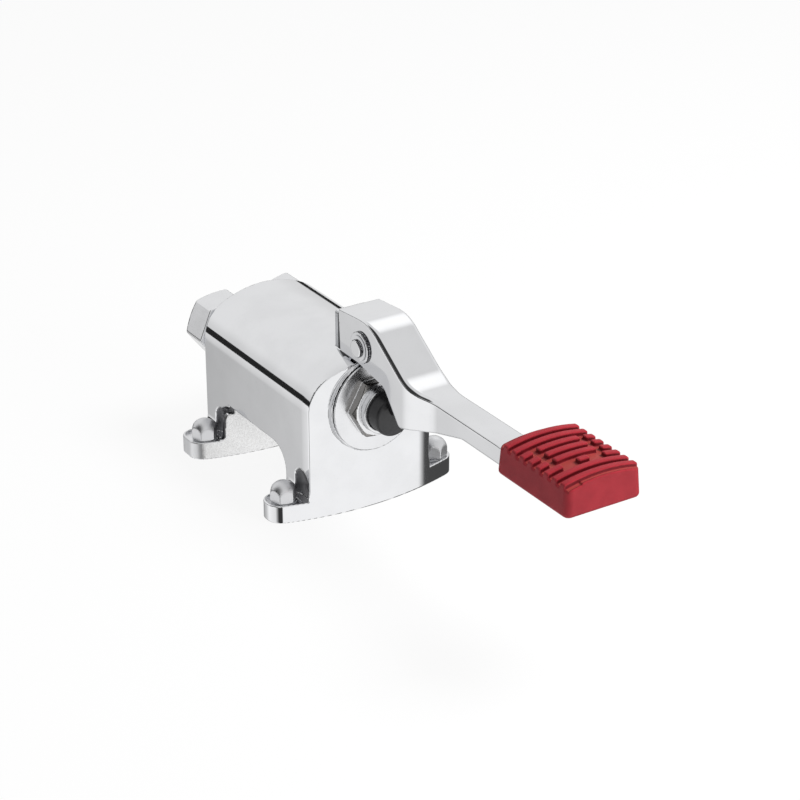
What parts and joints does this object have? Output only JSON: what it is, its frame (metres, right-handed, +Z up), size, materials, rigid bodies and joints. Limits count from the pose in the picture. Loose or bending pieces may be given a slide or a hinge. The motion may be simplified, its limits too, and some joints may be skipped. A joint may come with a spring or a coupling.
{
  "type": "foot pedal tap valve",
  "caption": "Floor-mounted arched tap valve with hexagon unions at the rear, a push valve at the front and a hinged lever with a ribbed rubber pedal pad.",
  "frame": {"origin": "centre of the four floor bolts, on the base plane", "axes": "+Z up from the floor, -Y towards the pedal, +Y towards the pipe unions, +X to the right as seen from the pedal"},
  "size_m": [0.0936, 0.2731, 0.0937],
  "materials": {
    "chrome_plate": "polished chrome plate on cast brass, left rough as cast inside the rear leg",
    "brass": "machined",
    "black_plastic": "smooth moulded",
    "pad_rubber": "matt moulded rubber",
    "seal_rubber": "matt rubber",
    "fibre": "pressed fibre",
    "steel": "turned stainless steel"
  },
  "bodies": {
    "base": {"valve_body": "chrome_plate", "inlet_union": "chrome_plate", "outlet_union": "chrome_plate", "inlet_gasket": "fibre", "outlet_gasket": "fibre", "bonnet": "chrome_plate", "bonnet_gasket": "fibre", "stem_bush": "brass", "stem_seal": "seal_rubber", "seat_sleeve": "brass", "seat_seal": "seal_rubber", "return_spring": "steel", "hinge_bush": "brass", "cap_nuts": "chrome_plate", "foot_washers": "steel"},
    "pedal": {"pedal_lever": "chrome_plate", "hinge_pin": "steel", "pin_washers": "chrome_plate", "pin_clips": "steel", "pedal_pad": "pad_rubber"},
    "plunger": {"push_button": "black_plastic", "valve_stem": "steel", "valve_washer": "seal_rubber", "washer_holder": "brass", "holder_nut": "brass"}
  },
  "joints": [
    {"name": "pedal_hinge", "type": "hinge", "parent": "base", "child": "pedal", "pos_m": [0, -0.0535, 0.0808], "axis": [1, 0, 0], "range_deg": [0, 12], "stiffness_Nm_per_rad": 4, "springref_deg": -17.19},
    {"name": "plunger_slide", "type": "slide", "parent": "base", "child": "plunger", "axis": [0, 1, 0], "range_m": [0, 0.0055], "deforming": ["return_spring"]}
  ],
  "couplings": [
    {"joint": "plunger_slide", "follows": "pedal_hinge", "m_per_rad": 0.02618}
  ]
}
